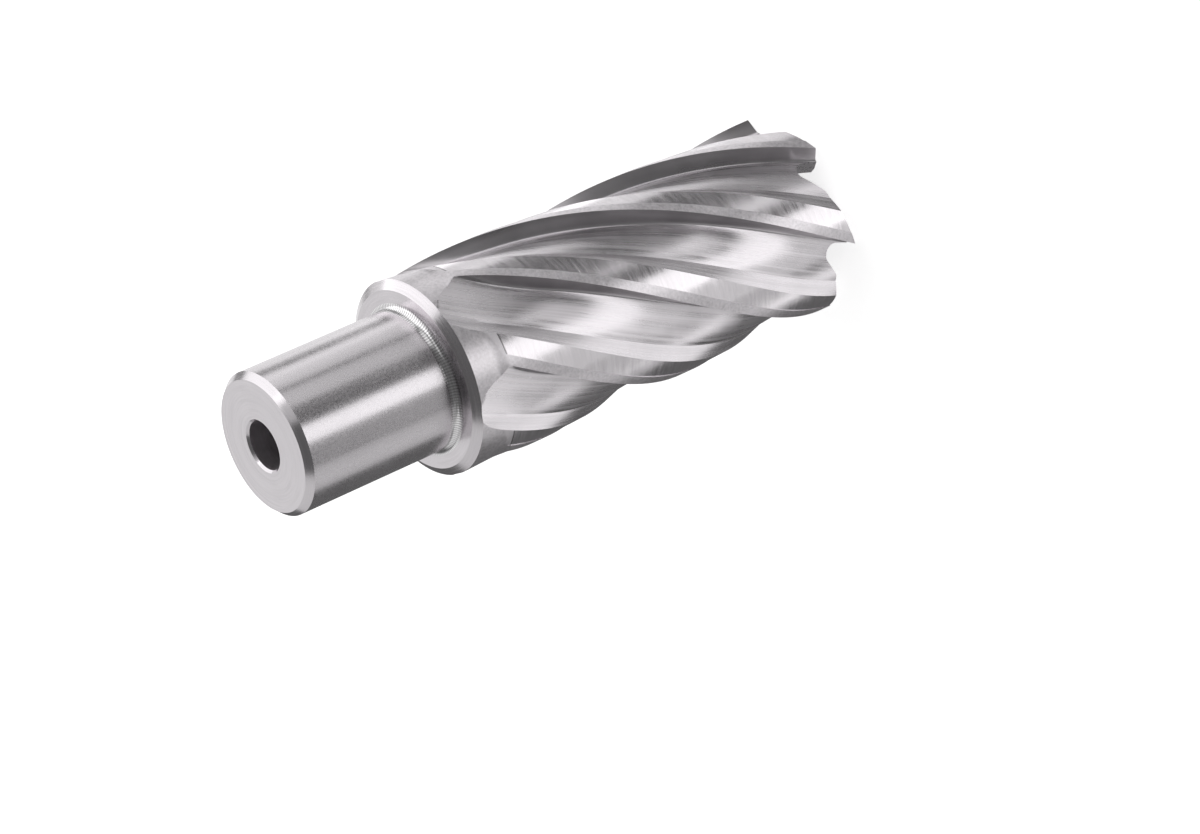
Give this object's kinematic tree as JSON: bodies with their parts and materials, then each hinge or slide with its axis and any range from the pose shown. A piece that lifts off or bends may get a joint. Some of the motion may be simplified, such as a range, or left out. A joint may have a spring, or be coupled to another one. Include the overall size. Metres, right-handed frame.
{
  "type": "annular cutter",
  "caption": "Hollow fluted steel cutter with a plain round shank and drive flats; cuts a ring-shaped groove and leaves a core slug.",
  "frame": {"origin": "on the spin axis in the plane of the teeth tips", "axes": "+Z along the spin axis from the teeth to the shank's end; +X near a cutting edge at the tips"},
  "size_m": [0.027, 0.027, 0.0864],
  "materials": {
    "tool_steel": "bare ground tool steel: satin shank, turned collar, ground flutes"
  },
  "bodies": {
    "root": {"annular_cutter": "tool_steel"}
  },
  "joints": []
}
